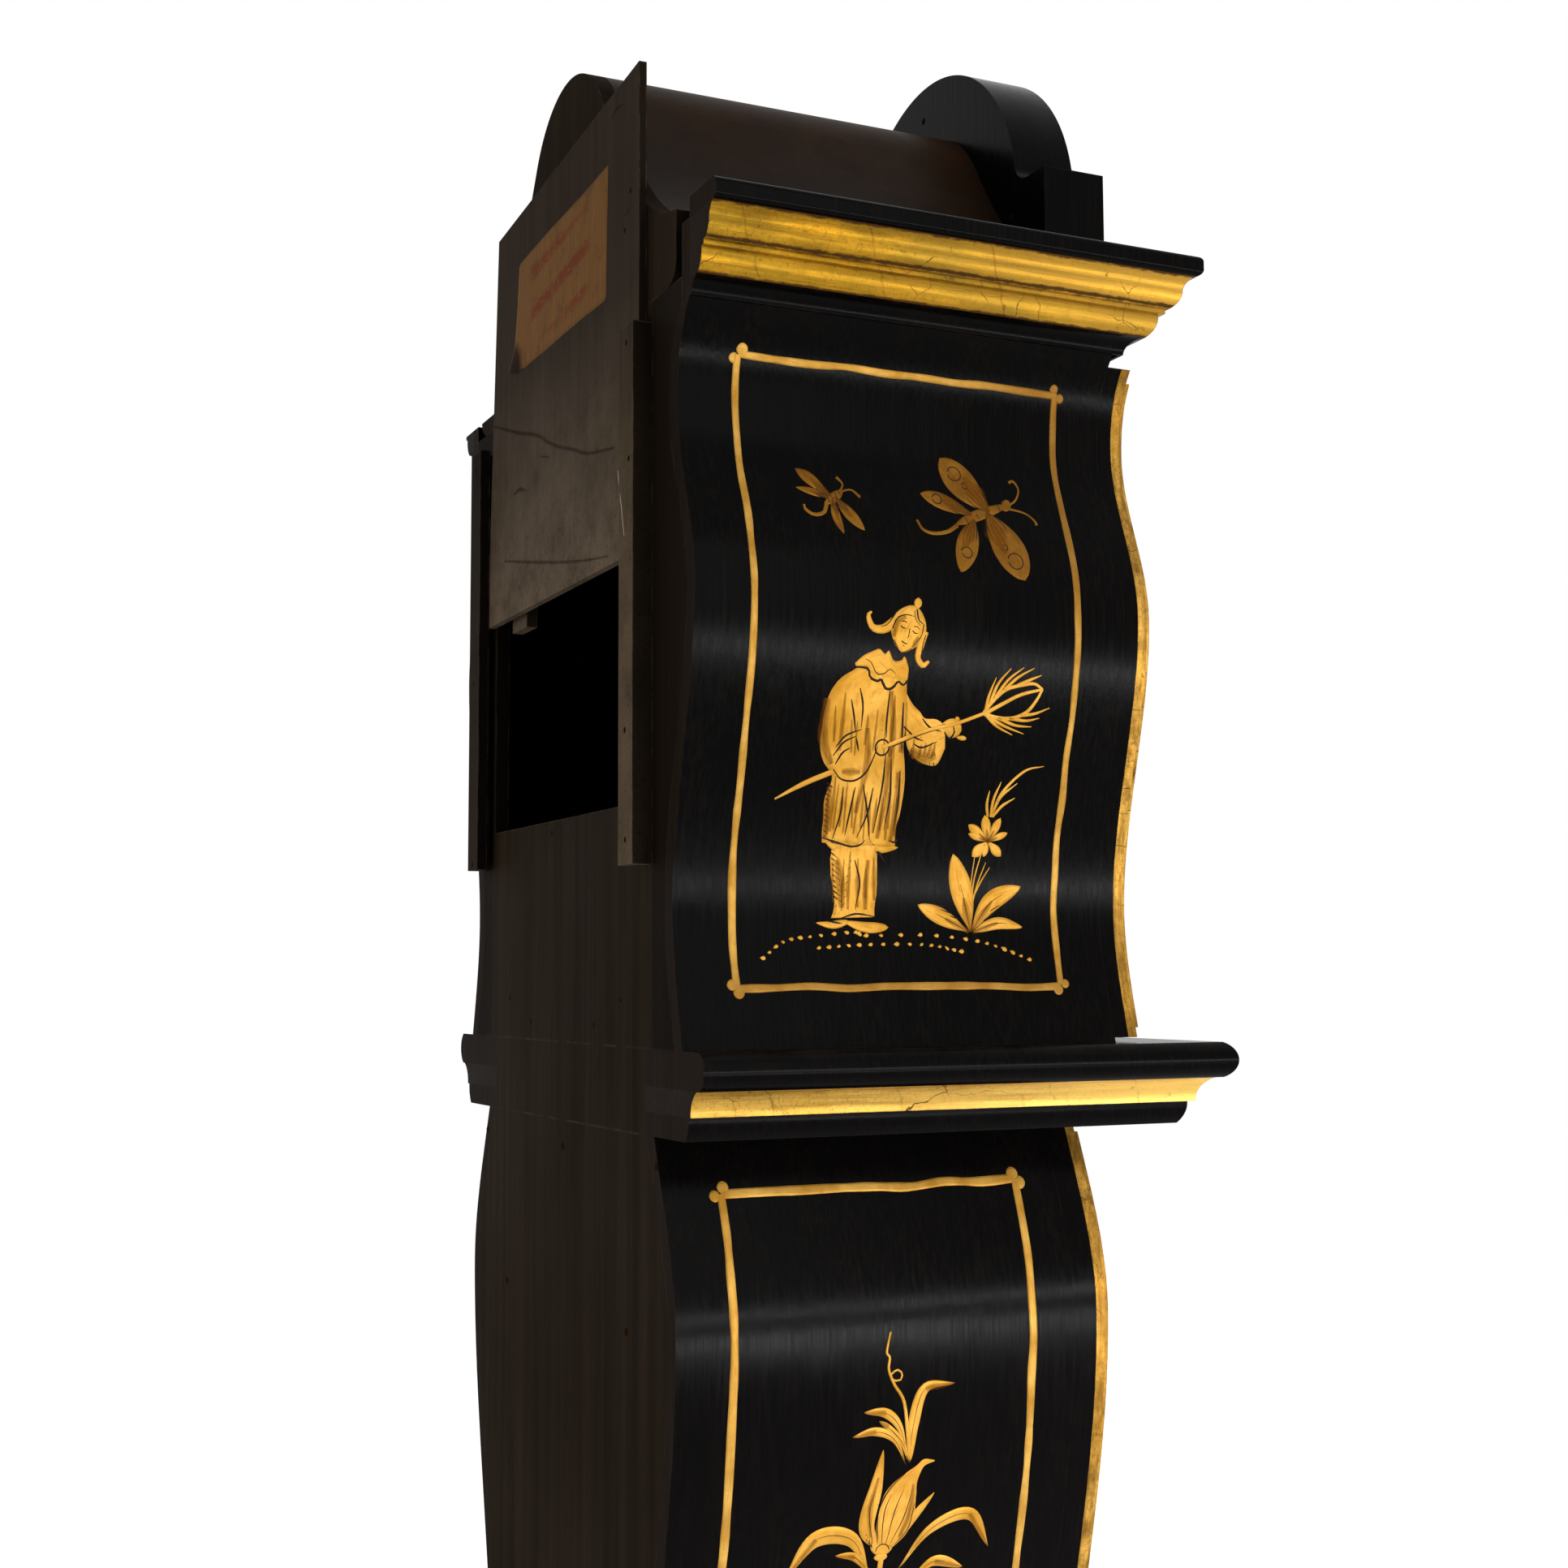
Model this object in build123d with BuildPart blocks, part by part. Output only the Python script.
from build123d import *
from math import asin, atan2, cos, hypot, pi, radians, sin, sqrt
import os

# Longcase clock with a serpentine hood and trunk. Millimetres. +Z is up, the dial faces -Y, and the
# origin is on the floor under the middle of the clock. Left is -X and right is +X.

# Fits
seat = 0.1                  # around a piece let into another
running = 0.05              # radial, round a turning shaft
slide_play = 0.3            # beside a sliding piece

# Stations from back to front
back_y = 175.0
hood_face = -117.5          # front edges of the hood's sides
trunk_face = -90.5
base_face = -138.0
side_wall = 12.0
back_board = 10.0

# Plinth and base
base_half = 222.0
base_wall = 15.0
base_height = 500.0
plinth_height = 90.0
plinth_thickness = 12.0
plinth_cove = 16.0
plinth_lip = 3.0
base_gilt_height = 20.0
base_ledge_height = 32.0
base_ledge_reach = 24.0     # tip beyond the base's face
base_ledge_flat = 16.0      # where its round nose starts
base_cove_top = 14.0
base_cove_foot = 3.0
base_frame_margin = 40.0    # from the frame to the plinth and to the gilt moulding
base_frame_inset = 52.0
base_frame_width = 16.0
base_frame_thickness = 8.0
base_frame_bevel = 3.0

# Trunk: how far its turning points stand in from the base's sides, and their heights above its foot
# as shares of its height
trunk_foot_inset = 7.0
trunk_waist_inset = 77.0
trunk_waist_share = 0.5017
trunk_belly_inset = 21.5
trunk_belly_share = 0.8729
trunk_neck_inset = 75.5     # the neck's turning point lies above the waist moulding
trunk_neck_share = 1.0847
trunk_height = 897.0
trunk_front_thickness = 17.0
edge_reveal = 2.0           # front boards stand in from the side's face
edge_gap = 1.5              # front boards stop short of the mouldings

# Gilt edge mouldings on the front boards
gilt_width = 20.0
gilt_step_one = 6.5
gilt_step_two = 6.0
gilt_step_inset = 6.0
gilt_bevel = 2.0

# Waist moulding
waist_inset = 22.0          # from the base's side to the line that its projections start from
waist_ahead = 38.1          # that line ahead of the trunk's front board
waist_inward = 50.0
waist_foot_height = 14.0
waist_gilt_height = 15.0
waist_ledge_height = 22.0
waist_tip = 42.4
waist_nose = 35.4
waist_cove_top = 32.2
waist_cove_foot = 22.6
waist_foot_tip = 19.0
waist_foot_root = 14.0
waist_rail_depth = 20.0

# Hood: how far its turning points stand in from the base's sides, and their heights above its foot
hood_low_rise = -67.0       # this turning point lies below the waist moulding's top
hood_waist_inset = 27.0
hood_waist_rise = 83.0
hood_belly_bulge = 7.5
hood_belly_rise = 268.0
hood_neck_inset = 20.0
hood_neck_rise = 381.0
hood_height = 438.0
flare_start = 0.42          # share of the flare's height that stays upright
hood_front_thickness = 11.5
hood_top_thickness = 12.0

# Cornice members, from the foot up
cornice_ahead = 4.5         # its line ahead of the hood sides' front edges
cornice_foot_height = 10.0
cornice_foot_root = 2.0
cornice_foot_tip = 12.0
lower_gilt_height = 17.0
lower_gilt_foot = 12.4
lower_gilt_tip = 18.2
lower_gilt_fillet = 3.0
upper_gilt_step = 2.0
upper_gilt_height = 19.0
upper_gilt_foot = 23.5
upper_gilt_tip = 35.5
cornice_top_height = 13.0
cornice_tip = 39.3
cornice_round = 4.0
far_corner_gap = 45.0       # above the lower gilt member, the right-hand parts stop this far before the back

# Roof
pediment_inset = 60.0       # from the hood's top corners
pediment_shoulder = 86.5
pediment_rise = 205.0
pediment_step = 36.0        # width of each square shoulder
pediment_fillet = 16.0
pediment_thickness = 46.8
pediment_setback = 30.6     # front face behind the cornice's front line
vault_rise = 159.0
vault_radius = 80.0
vault_turn = 58.0           # degrees of crown arc, each way
vault_foot_inset = 26.0
vault_thickness = 5.0
vault_back_thickness = 12.0
vault_back_inset = 21.0
vault_back_drop = 44.0      # below the cornice's top
vault_back_corner = 15.0

# Hatch and sliding panel in the back
hatch_x = 10.0
hatch_margin = 2.0          # from the opening to the rails
hatch_low_rise = 147.7
hatch_high_rise = 415.0
rail_margin = 46.0          # from the hood's narrowest place to the rails' inner faces
rail_width = 24.0
rail_depth = 13.0
left_rail_low_rise = 109.0
left_rail_high_rise = 439.0
right_rail_low_rise = 121.0
right_rail_high_rise = 434.0
groove_depth = 13.8
panel_thickness = 5.0
panel_low_rise = 300.0
panel_left_height = 307.5
panel_right_height = 288.5
panel_right_lap = 4.0       # in the right-hand groove
panel_lean = 21.0           # the right-hand edge leans in by this much
tongue_width = 34.0
tongue_height = 60.0
tongue_thickness = 8.0
tongue_hang = 4.5           # below the panel's lower edge
tongue_rise = 15.5          # the spacer starts this far above it
tongue_inset = 6.0

# Dial opening, bezel and glass
dial_rise = 245.0
dial_lap = 8.0              # dial wider than its opening
dial_thickness = 1.5
dial_behind = 5.5           # dial's face behind the front board's inner face
dial_hole = 6.0
dial_foot_radius = 3.0
bezel_margin = 35.0         # from the ring's top to the cornice
bezel_width = 20.0
bezel_depth = 16.0
bezel_sight = 2.0           # opening wider than the ring's inner edge
glass_lap = 8.0
glass_thickness = 2.0
glass_rebate = 9.0
knob_radius = 5.0
knob_length = 12.0

# Trunk door
door_inset = 52.0
door_low_rise = 60.0
door_top_gap = 50.0
door_lap = 14.0
door_thickness = 12.0
door_gilt_width = 14.0
door_gilt_thickness = 6.5

# Hinges
knuckle_radius = 4.5
knuckle_half = 5.8
hinge_half = 18.0
knuckle_play = 0.2
pin_radius = 1.5
leaf_thickness = 2.0
leaf_width = 8.0
arm_thickness = 4.0
arm_bite = 8.0
hinge_margin = 0.5

# Lock and key
lock_rise = 698.0
lock_gap = 3.0              # beside the opening's edge
lock_half = 12.0
lock_half_height = 30.0
lock_plate = 2.0
bolt_half_height = 6.0
bolt_thickness = 4.0
bolt_length = 18.0
bolt_behind = 1.0           # bolt's face behind the front board's inner face
key_radius = 3.0
key_reach = 30.0            # bow stands out from the door's face
key_bow_radius = 11.0
key_bow_hole = 6.5
key_bow_thickness = 3.0
key_bit_length = 6.0
key_bit_width = 5.0
scutcheon_half = 10.0
scutcheon_half_height = 18.0
scutcheon_thickness = 1.5

# Movement
plate_half = 78.0
plate_thickness = 3.0
plate_front = -86.0
plate_spacing = 58.0
plate_top_rise = 93.0       # above the dial's centre
plate_low_rise = -77.0
pillar_radius = 5.0
pillar_inset = 9.0
seat_board_thickness = 20.0
seat_board_back = -8.0
seat_board_front = -88.0
cheek_width = 22.0
cheek_height = 92.0

# Wheels: module, teeth
great_module = 1.1
great_teeth = 72
centre_module = 0.9
centre_teeth = 64
third_module = 0.8
third_teeth = 60
escape_teeth = 30
escape_radius = 22.5
escape_thickness = 3.0
pinion_leaves = 8
mesh_play = 0.35            # added to each pair's centre distance
escape_rise = 48.0          # escape arbor above the centre arbor
wheel_thickness = 2.4
pinion_length = 7.0
rim_width = 4.0
spoke_width = 4.0
wheel_hub = 6.0
arbor_radius = 2.0
pivot_end = 1.5             # arbor ends short of the plate's outer face
square_half = 2.1
barrel_arbor = 3.0
drum_radius = 20.0
barrel_angle = 45.0

# Wheel planes, measured back from the front plate's inner face
great_plane = 6.4
centre_plane = 52.4
third_plane = 34.0
escape_plane = 23.0
drum_start = 11.0
time_drum_length = 38.0
strike_drum_length = 30.0
strike_wheel_gap = 1.5

# Escapement and pendulum
anchor_rise = 28.0          # above the escape arbor
anchor_arbor = 1.5
pallet_gap = 2.6            # between the wheel's tips and the anchor's bow
pallet_width = 4.0
pallet_thickness = 4.0
pallet_reach = 52.0         # degrees, each side of the top
crutch_back = 6.0           # behind the back plate
crutch_thickness = 3.0
crutch_half = 3.0
crutch_length = 90.0
fork_gap = 0.4
fork_prong = 3.0
rod_y = 6.0
rod_thickness = 4.0
rod_half = 4.0
pendulum_length = 1015.0    # from pivot to bob centre
rod_tail = 76.0             # rod goes on below the bob's centre
nut_radius = 8.0
nut_height = 8.0
eye_radius = 5.0
bob_radius = 62.0
bob_half = 15.0
cock_half = 17.0
cock_leg = 3.0
cock_half_height = 6.0
cock_bridge = 3.0
cock_reach = 37.0

# Bell and hammer
bell_radius = 42.0
bell_wall = 3.0
bell_rise = 130.0
stand_half = 8.0
stand_thickness = 4.0
stem_radius = 3.0
hammer_x = 52.0
hammer_rise = 70.0
hammer_arm = 2.0
hammer_head = 7.0
hammer_gap = 2.6

# Hands
hand_hub = 7.0
hand_thickness = 1.5
minute_margin = 22.0        # its tip inside the dial's opening
hour_share = 0.68           # of the minute hand's length
hand_root = 4.5
hand_tip = 1.0
pipe_wall = 2.0
hour_ahead = 4.0            # hour hand ahead of the dial's face
minute_ahead = 9.0

# Weights
weight_radius = 28.0
weight_height = 210.0
weight_round = 6.0
hook_radius = 2.5
hook_height = 30.0
weight_top_rise = 748.0     # hook's top above the trunk's foot
line_radius = 0.8

# Levels worked out from the stack of parts
gilt_bottom = base_height
ledge_bottom = base_height + base_gilt_height
trunk_bottom = ledge_bottom + base_ledge_height
trunk_top = trunk_bottom + trunk_height
waist_gilt_bottom = trunk_top + waist_foot_height
waist_ledge_bottom = waist_gilt_bottom + waist_gilt_height
hood_bottom = waist_ledge_bottom + waist_ledge_height
cornice_bottom = hood_bottom + hood_height
lower_gilt_bottom = cornice_bottom + cornice_foot_height
upper_gilt_bottom = lower_gilt_bottom + lower_gilt_height
cornice_top_bottom = upper_gilt_bottom + upper_gilt_height
cornice_top = cornice_top_bottom + cornice_top_height
dial_z = hood_bottom + dial_rise
trunk_board_face = trunk_face - trunk_front_thickness
hood_board_face = hood_face - hood_front_thickness
ledge_inward = trunk_face - base_face + base_wall
waist_reach = base_half - waist_inset
waist_front = trunk_board_face - waist_ahead
cornice_front = hood_face - cornice_ahead
hood_top_half = base_half
hood_waist_half = base_half - hood_waist_inset
hood_neck_half = base_half - hood_neck_inset
door_face = trunk_board_face - door_thickness
bezel_outer = hood_height - dial_rise - bezel_margin
bezel_inner = bezel_outer - bezel_width
dial_opening = bezel_inner + bezel_sight
dial_radius = dial_opening + dial_lap
glass_radius = bezel_inner + glass_lap
rail_gap_half = hood_waist_half - rail_margin
hatch_half = rail_gap_half - hatch_margin


def bends(turns):
    """Control points of the curves between turning points; each curve leaves and arrives upright."""
    curves = []
    for (x0, z0), (x1, z1) in zip(turns, turns[1:]):
        third = (z1 - z0) / 3
        curves.append([(x0, z0), (x0, z0 + third), (x1, z1 - third), (x1, z1)])
    return curves


trunk_edge = bends(
    [
        (base_half - trunk_foot_inset, trunk_bottom),
        (base_half - trunk_waist_inset, trunk_bottom + trunk_waist_share * trunk_height),
        (base_half - trunk_belly_inset, trunk_bottom + trunk_belly_share * trunk_height),
        (base_half - trunk_neck_inset, trunk_bottom + trunk_neck_share * trunk_height),
    ]
)
hood_edge = bends(
    [
        (hood_top_half, hood_bottom + hood_low_rise),
        (hood_waist_half, hood_bottom + hood_waist_rise),
        (hood_top_half + hood_belly_bulge, hood_bottom + hood_belly_rise),
        (hood_neck_half, hood_bottom + hood_neck_rise),
    ]
)
flare_height = hood_height - hood_neck_rise
flare_width = hood_top_half - hood_neck_half
hood_edge.append(
    [
        (hood_neck_half, cornice_bottom - flare_height),
        (hood_neck_half, cornice_bottom - flare_height * (1 - flare_start)),
        (hood_neck_half + flare_width * (1 - 2 * flare_start) * 2, cornice_bottom - flare_height / 4),
        (hood_top_half, cornice_bottom),
    ]
)
hood_edge += bends([(hood_top_half, cornice_bottom), (hood_top_half, cornice_top)])


def half_width(edge, height, inset=0.0):
    """Half width of an outline at a height."""
    for (x0, z0), (xa, za), (xb, zb), (x1, z1) in edge:
        if z0 <= height <= z1:
            low, high = 0.0, 1.0
            for _ in range(40):
                t = (low + high) / 2
                s = 1 - t
                z = s**3 * z0 + 3 * s * s * t * za + 3 * s * t * t * zb + t**3 * z1
                if z < height:
                    low = t
                else:
                    high = t
            return s**3 * x0 + 3 * s * s * t * xa + 3 * s * t * t * xb + t**3 * x1 - inset
    raise ValueError("height is off the outline")


def upright(y):
    """Plane that faces the front at depth y; its own x and y are the part's X and Z."""
    return Plane.XZ.offset(-y)


def outline(edge, inset, low, high, y):
    """Face across the case at depth y, between two heights, with both sides along an edge curve."""
    with BuildSketch(upright(y)) as face:
        with BuildLine():
            for curve in edge:
                Bezier(*[(x - inset, z) for x, z in curve])
            top = (edge[-1][-1][0] - inset, edge[-1][-1][1])
            foot = (edge[0][0][0] - inset, edge[0][0][1])
            Polyline(top, (0, top[1]), (0, foot[1]), foot)
        make_face()
        mirror(about=Plane.YZ)
        with Locations((0, (low + high) / 2)):
            Rectangle(4 * base_half, high - low, mode=Mode.INTERSECT)
    return face.sketch


def wall(edge, side, low, high, y):
    """Section of one side wall: the edge curve, and the same curve a wall's thickness inside it."""
    with BuildSketch(upright(y)) as face:
        with BuildLine():
            for inset in (0, side_wall):
                for curve in edge:
                    Bezier(*[(side * (x - inset), z) for x, z in curve])
            for x, z in (edge[0][0], edge[-1][-1]):
                Line((side * x, z), (side * (x - side_wall), z))
        make_face()
        with Locations((0, (low + high) / 2)):
            Rectangle(4 * base_half, high - low, mode=Mode.INTERSECT)
    return face.sketch


def block(xs, ys, zs, mode=Mode.ADD):
    """Box between two limits along each axis."""
    middle = tuple((low + high) / 2 for low, high in (xs, ys, zs))
    with Locations(middle):
        Box(abs(xs[1] - xs[0]), abs(ys[1] - ys[0]), abs(zs[1] - zs[0]), mode=mode)


def cut_far_corner(inner):
    """Leave out the right-hand back corner above the lower gilt member, from inner outwards."""
    reach = hood_top_half + 2 * cornice_tip
    depths = (back_y - far_corner_gap, back_y)
    block((inner, reach), depths, (upper_gilt_bottom, cornice_top + vault_rise), mode=Mode.SUBTRACT)


def spindle(place, radius, back, front, mode=Mode.ADD):
    """Round bar along Y at (x, z), from depth back to depth front."""
    with Locations((place[0], (back + front) / 2, place[1])):
        Cylinder(radius, abs(back - front), rotation=(90, 0, 0), mode=mode)


def run_round(reach, front):
    """Path along the left side, the front and the right side."""
    with BuildLine() as run:
        Polyline((-reach, back_y, 0), (-reach, front, 0), (reach, front, 0), (reach, back_y, 0))
    return run.wire()


def section(reach, level, start, *legs):
    """Moulding section at the back end of the left side, in (outward, upward) sizes above a level.
    A leg is the point that it runs to. With a third number it is an arc, that number being the arc's
    height as a share of its chord: positive for a round, negative for a hollow."""
    place = Plane(origin=(-reach, back_y, level), x_dir=(-1, 0, 0), z_dir=(0, 1, 0))
    with BuildSketch(place) as face:
        with BuildLine():
            at = start
            for x, z, *bow in legs:
                if bow:
                    across = (x - at[0], z - at[1])
                    middle = ((x + at[0]) / 2 + bow[0] * across[1], (z + at[1]) / 2 - bow[0] * across[0])
                    ThreePointArc(at, middle, (x, z))
                else:
                    Line(at, (x, z))
                at = (x, z)
            Line(at, start)
        make_face()
    return face.sketch


def toothed(place, teeth, root, tip, root_share, tip_share, phase, y):
    """Wheel face with straight-flanked teeth; one tooth points at the phase angle."""
    pitch = 2 * pi / teeth
    points = []
    for tooth in range(teeth):
        middle = phase + tooth * pitch
        flanks = ((-root_share, root), (-tip_share, tip), (tip_share, tip), (root_share, root))
        for share, radius in flanks:
            angle = middle + share * pitch
            points.append((place[0] + radius * cos(angle), place[1] + radius * sin(angle)))
    with BuildSketch(upright(y)) as face:
        with BuildLine():
            Polyline(*points, close=True)
        make_face()
    return face.sketch


def wheel_face(place, module, teeth, phase, y):
    radius = module * teeth / 2
    return toothed(place, teeth, radius - 1.3 * module, radius + 0.95 * module, 0.22, 0.09, phase, y)


def pinion_face(place, module, phase, y):
    radius = module * pinion_leaves / 2
    tip = radius + 0.7 * module
    return toothed(place, pinion_leaves, radius - 1.35 * module, tip, 0.17, 0.11, phase, y)


def crossings(place, rim, hub, arm, back, front):
    """Four openings between the arms of a wheel."""
    with BuildSketch(upright(back)) as openings:
        with Locations(place):
            Circle(rim)
            Circle(hub, mode=Mode.SUBTRACT)
            Rectangle(2 * rim, arm, mode=Mode.SUBTRACT)
            Rectangle(arm, 2 * rim, mode=Mode.SUBTRACT)
    extrude(openings.sketch, amount=back - front, mode=Mode.SUBTRACT)


def save(piece, name):
    piece.part.label = name
    export_step(piece.part, f"parts/{name}.step")


os.makedirs("parts", exist_ok=True)

# ---------------------------------------------------------------- base

with BuildPart() as plinth:
    shape = section(
        base_half,
        0,
        (0, 0),
        (plinth_thickness, 0),
        (plinth_thickness, plinth_height - plinth_cove),
        (plinth_lip, plinth_height, -0.16),
        (0, plinth_height),
    )
    sweep(shape, path=run_round(base_half, base_face - base_wall), transition=Transition.RIGHT)
save(plinth, "plinth")

for side, name in ((-1, "base_side_left"), (1, "base_side_right")):
    with BuildPart() as base_side:
        limits = sorted((side * base_half, side * (base_half - base_wall)))
        block(limits, (base_face, back_y), (0, base_height))
    save(base_side, name)

with BuildPart() as base_front:
    block((-base_half, base_half), (base_face - base_wall, base_face), (0, base_height))
save(base_front, "base_front")

with BuildPart() as base_front_moulding:
    frame_face = base_face - base_wall
    frame_front = frame_face - base_frame_thickness
    frame_half = base_half - base_frame_inset
    frame_levels = (plinth_height + base_frame_margin, base_height - base_frame_margin)
    block((-frame_half, frame_half), (frame_front, frame_face), frame_levels)
    chamfer(base_front_moulding.faces().sort_by(Axis.Y)[0].edges(), base_frame_bevel)
    inner_half = frame_half - base_frame_width
    inner_levels = (frame_levels[0] + base_frame_width, frame_levels[1] - base_frame_width)
    block((-inner_half, inner_half), (frame_front, frame_face), inner_levels, mode=Mode.SUBTRACT)
save(base_front_moulding, "base_front_moulding")

with BuildPart() as base_back:
    inner_half = base_half - base_wall
    block((-inner_half, inner_half), (back_y - side_wall, back_y), (0, ledge_bottom))
    inner_half = base_half - ledge_inward
    block((-inner_half, inner_half), (back_y - side_wall, back_y), (ledge_bottom, trunk_bottom))
save(base_back, "base_back")

with BuildPart() as base_gilt_moulding:
    shape = section(
        base_half,
        gilt_bottom,
        (-base_wall, 0),
        (base_cove_foot, 0),
        (base_cove_top, base_gilt_height, -0.135),
        (-base_wall, base_gilt_height),
    )
    sweep(shape, path=run_round(base_half, base_face - base_wall), transition=Transition.RIGHT)
save(base_gilt_moulding, "base_gilt_moulding")

with BuildPart() as base_ledge_moulding:
    shape = section(
        base_half,
        ledge_bottom,
        (-ledge_inward, 0),
        (base_ledge_flat, 0),
        (base_ledge_flat, base_ledge_height, (base_ledge_reach - base_ledge_flat) / base_ledge_height),
        (-ledge_inward, base_ledge_height),
    )
    sweep(shape, path=run_round(base_half, base_face - base_wall), transition=Transition.RIGHT)
save(base_ledge_moulding, "base_ledge_moulding")

# ---------------------------------------------------------------- trunk

for side, name in ((-1, "trunk_side_left"), (1, "trunk_side_right")):
    with BuildPart() as trunk_side:
        extrude(wall(trunk_edge, side, trunk_bottom, trunk_top, back_y), amount=back_y - trunk_face)
    save(trunk_side, name)

with BuildPart() as trunk_back:
    extrude(outline(trunk_edge, side_wall, trunk_bottom, trunk_top, back_y), amount=back_board)
save(trunk_back, "trunk_back")

trunk_front_low = trunk_bottom + edge_gap
trunk_front_high = trunk_top - edge_gap
door_low = trunk_bottom + door_low_rise
door_high = trunk_top - door_top_gap

with BuildPart() as trunk_front:
    board = outline(trunk_edge, edge_reveal, trunk_front_low, trunk_front_high, trunk_face)
    extrude(board, amount=trunk_front_thickness)
    opening_inset = door_inset + door_lap
    opening = outline(trunk_edge, opening_inset, door_low + door_lap, door_high - door_lap, trunk_face)
    extrude(opening, amount=trunk_front_thickness, mode=Mode.SUBTRACT)
save(trunk_front, "trunk_front")


def edge_moulding(edge, low, high, face):
    """Two-step gilt frame along a front board's edge."""
    inset = edge_reveal
    inner = edge_reveal + gilt_width
    extrude(outline(edge, inset, low, high, face), amount=gilt_step_one)
    top = outline(edge, inset + gilt_step_inset, low + gilt_step_inset, high - gilt_step_inset,
                  face - gilt_step_one)
    extrude(top, amount=gilt_step_two)
    hole = outline(edge, inner, low + gilt_width, high - gilt_width, face)
    extrude(hole, amount=gilt_step_one + gilt_step_two, mode=Mode.SUBTRACT)


with BuildPart() as trunk_front_moulding:
    edge_moulding(trunk_edge, trunk_front_low, trunk_front_high, trunk_board_face)
save(trunk_front_moulding, "trunk_front_moulding")

# ---------------------------------------------------------------- waist moulding

waist_path = run_round(waist_reach, waist_front)

with BuildPart() as waist_foot_moulding:
    shape = section(
        waist_reach,
        trunk_top,
        (-waist_inward, 0),
        (waist_foot_root, 0),
        (waist_foot_tip, waist_foot_height, 0.1),
        (-waist_inward, waist_foot_height),
    )
    sweep(shape, path=waist_path, transition=Transition.RIGHT)
save(waist_foot_moulding, "waist_foot_moulding")

with BuildPart() as waist_gilt_moulding:
    shape = section(
        waist_reach,
        waist_gilt_bottom,
        (-waist_inward, 0),
        (waist_cove_foot, 0),
        (waist_cove_top, waist_gilt_height, -0.16),
        (-waist_inward, waist_gilt_height),
    )
    sweep(shape, path=waist_path, transition=Transition.RIGHT)
save(waist_gilt_moulding, "waist_gilt_moulding")

with BuildPart() as waist_ledge_moulding:
    shape = section(
        waist_reach,
        waist_ledge_bottom,
        (-waist_inward, 0),
        (waist_nose, 0),
        (waist_nose, waist_ledge_height, (waist_tip - waist_nose) / waist_ledge_height),
        (-waist_inward, waist_ledge_height),
    )
    sweep(shape, path=waist_path, transition=Transition.RIGHT)
save(waist_ledge_moulding, "waist_ledge_moulding")

with BuildPart() as waist_back_rail:
    inner_half = waist_reach - waist_inward
    block((-inner_half, inner_half), (back_y - waist_rail_depth, back_y), (trunk_top, hood_bottom))
save(waist_back_rail, "waist_back_rail")

# ---------------------------------------------------------------- hood

hood_wall_top = cornice_top - hood_top_thickness

for side, name in ((-1, "hood_side_left"), (1, "hood_side_right")):
    with BuildPart() as hood_side:
        extrude(wall(hood_edge, side, hood_bottom, hood_wall_top, back_y), amount=back_y - hood_face)
        cut_far_corner(rail_gap_half)
    save(hood_side, name)

vault_back_low = cornice_top - vault_back_drop
hatch_low = hood_bottom + hatch_low_rise
hatch_high = hood_bottom + hatch_high_rise
hatch_sides = (hatch_x - hatch_half, hatch_x + hatch_half)

with BuildPart() as hood_back:
    extrude(outline(hood_edge, side_wall, hood_bottom, vault_back_low, back_y), amount=back_board)
    block(hatch_sides, (back_y - back_board, back_y), (hatch_low, hatch_high), mode=Mode.SUBTRACT)
save(hood_back, "hood_back")

left_rail_levels = (hood_bottom + left_rail_low_rise, hood_bottom + left_rail_high_rise)
right_rail_levels = (hood_bottom + right_rail_low_rise, hood_bottom + right_rail_high_rise)
groove_width = panel_thickness + 2 * slide_play

with BuildPart() as back_rails:
    for side, levels in ((-1, left_rail_levels), (1, right_rail_levels)):
        inner = hatch_x + side * rail_gap_half
        block(sorted((inner, inner + side * rail_width)), (back_y, back_y + rail_depth), levels)
        groove = sorted((inner, inner + side * groove_depth))
        block(groove, (back_y, back_y + groove_width), levels, mode=Mode.SUBTRACT)
save(back_rails, "back_rails")

hood_front_low = hood_bottom + 2 * edge_gap
hood_front_high = cornice_bottom - 4 * edge_gap

with BuildPart() as hood_front:
    board = outline(hood_edge, edge_reveal, hood_front_low, hood_front_high, hood_face)
    extrude(board, amount=hood_front_thickness)
    spindle((0, dial_z), dial_opening, hood_face, hood_board_face, mode=Mode.SUBTRACT)
save(hood_front, "hood_front")

with BuildPart() as hood_front_moulding:
    edge_moulding(hood_edge, hood_front_low, hood_front_high, hood_board_face)
save(hood_front_moulding, "hood_front_moulding")

with BuildPart() as hood_top_board:
    board_depth = (cornice_front, back_y - vault_back_thickness)
    block((-hood_top_half, hood_top_half), board_depth, (hood_wall_top, cornice_top))
    cut_far_corner(rail_gap_half)
save(hood_top_board, "hood_top_board")

# ---------------------------------------------------------------- cornice

cornice_path = run_round(hood_top_half, cornice_front)

with BuildPart() as cornice_foot_moulding:
    shape = section(
        hood_top_half,
        cornice_bottom,
        (0, 0),
        (cornice_foot_root, 0),
        (cornice_foot_tip, cornice_foot_height, -0.19),
        (0, cornice_foot_height),
    )
    sweep(shape, path=cornice_path, transition=Transition.RIGHT)
save(cornice_foot_moulding, "cornice_foot_moulding")

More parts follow.
